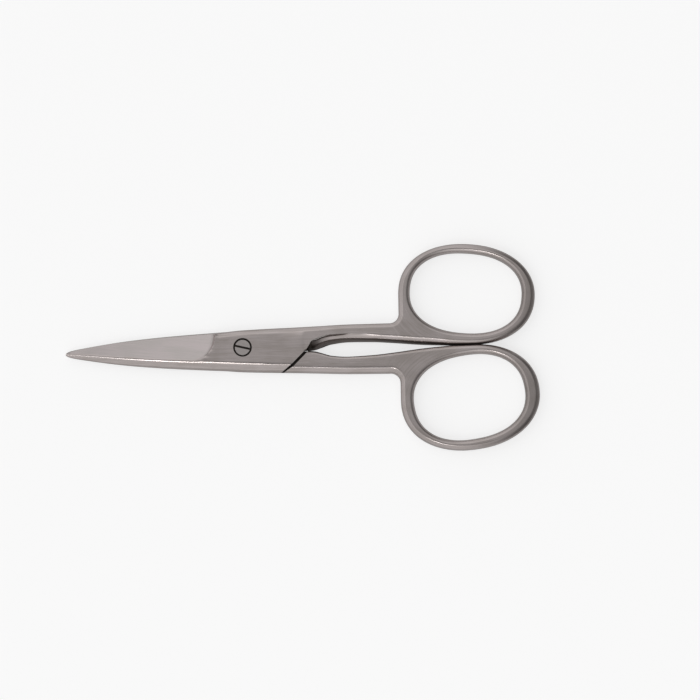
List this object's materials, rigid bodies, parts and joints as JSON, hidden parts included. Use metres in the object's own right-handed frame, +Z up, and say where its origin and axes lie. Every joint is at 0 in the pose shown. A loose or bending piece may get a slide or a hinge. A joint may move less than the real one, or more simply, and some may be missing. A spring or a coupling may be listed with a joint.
{
  "type": "nail scissors",
  "caption": "Straight nail scissors in satin stainless steel, with ground pointed blades, a flush slotted pivot screw and oval finger rings.",
  "frame": {"origin": "middle of the closed scissors' box in plan, on the surface that they lie on", "axes": "+X from the blade tips to the finger rings, +Y towards the front half's ring, +Z up, towards the front half's blade and the screw head"},
  "size_m": [0.09, 0.0394, 0.003],
  "materials": {
    "satin_steel": "satin ground stainless steel",
    "screw_steel": "plain turned stainless steel"
  },
  "bodies": {
    "rear": {"rear_half": "satin_steel", "pivot_screw": "screw_steel"},
    "front": {"front_half": "satin_steel"}
  },
  "joints": [
    {"name": "pivot", "type": "hinge", "parent": "rear", "child": "front", "pos_m": [-0.0113, 0.00062, 0], "axis": [0, 0, 1], "range_deg": [0, 120]}
  ]
}
